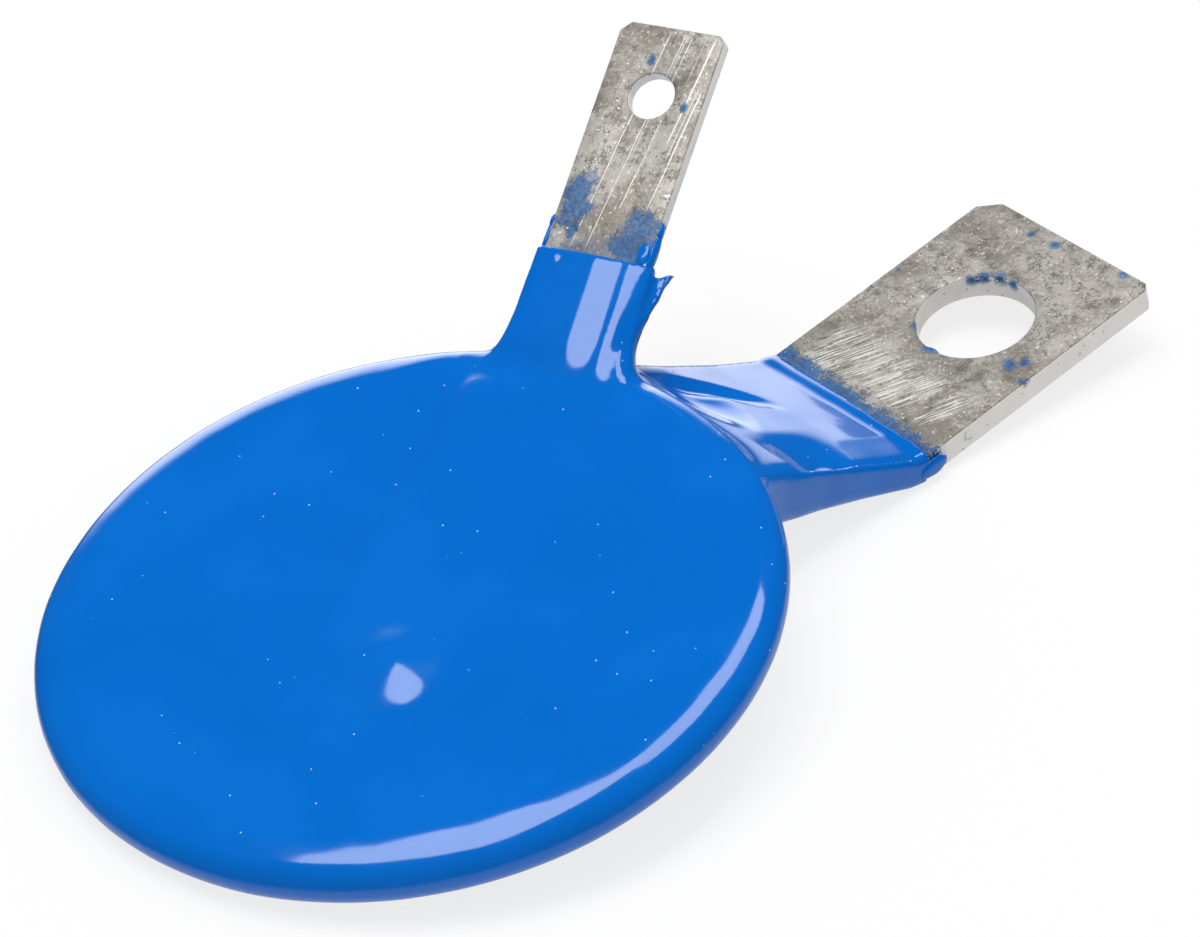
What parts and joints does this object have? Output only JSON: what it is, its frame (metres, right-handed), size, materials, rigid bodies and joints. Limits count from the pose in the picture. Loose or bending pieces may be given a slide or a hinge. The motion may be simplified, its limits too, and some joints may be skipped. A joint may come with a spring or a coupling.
{
  "type": "varistor",
  "caption": "Disc varistor in an epoxy coat, with a wide stepped bolt-down strap under it and a narrow rising strap on top, each with a hole",
  "frame": {"origin": "centre of the wide terminal's bolt hole, on its seating (under) face", "axes": "+Z is the bolt hole's axis and runs parallel to the disc's axis, up from the seating face; +X runs from the disc outwards along the wide terminal to its free end"},
  "size_m": [0.106, 0.063, 0.0304],
  "materials": {
    "coat": "dipped epoxy, glossy blue",
    "ceramic": "fired zinc oxide ceramic, dark and matt",
    "electrode": "sprayed metal film, dull",
    "solder": "solder, satin",
    "tinned_strap": "tinned copper, satin, scratched"
  },
  "bodies": {
    "root": {"epoxy_coating": "coat", "ceramic_disc": "ceramic", "top_electrode": "electrode", "bottom_electrode": "electrode", "top_solder": "solder", "bottom_solder": "solder", "narrow_terminal": "tinned_strap", "wide_terminal": "tinned_strap"}
  },
  "joints": []
}
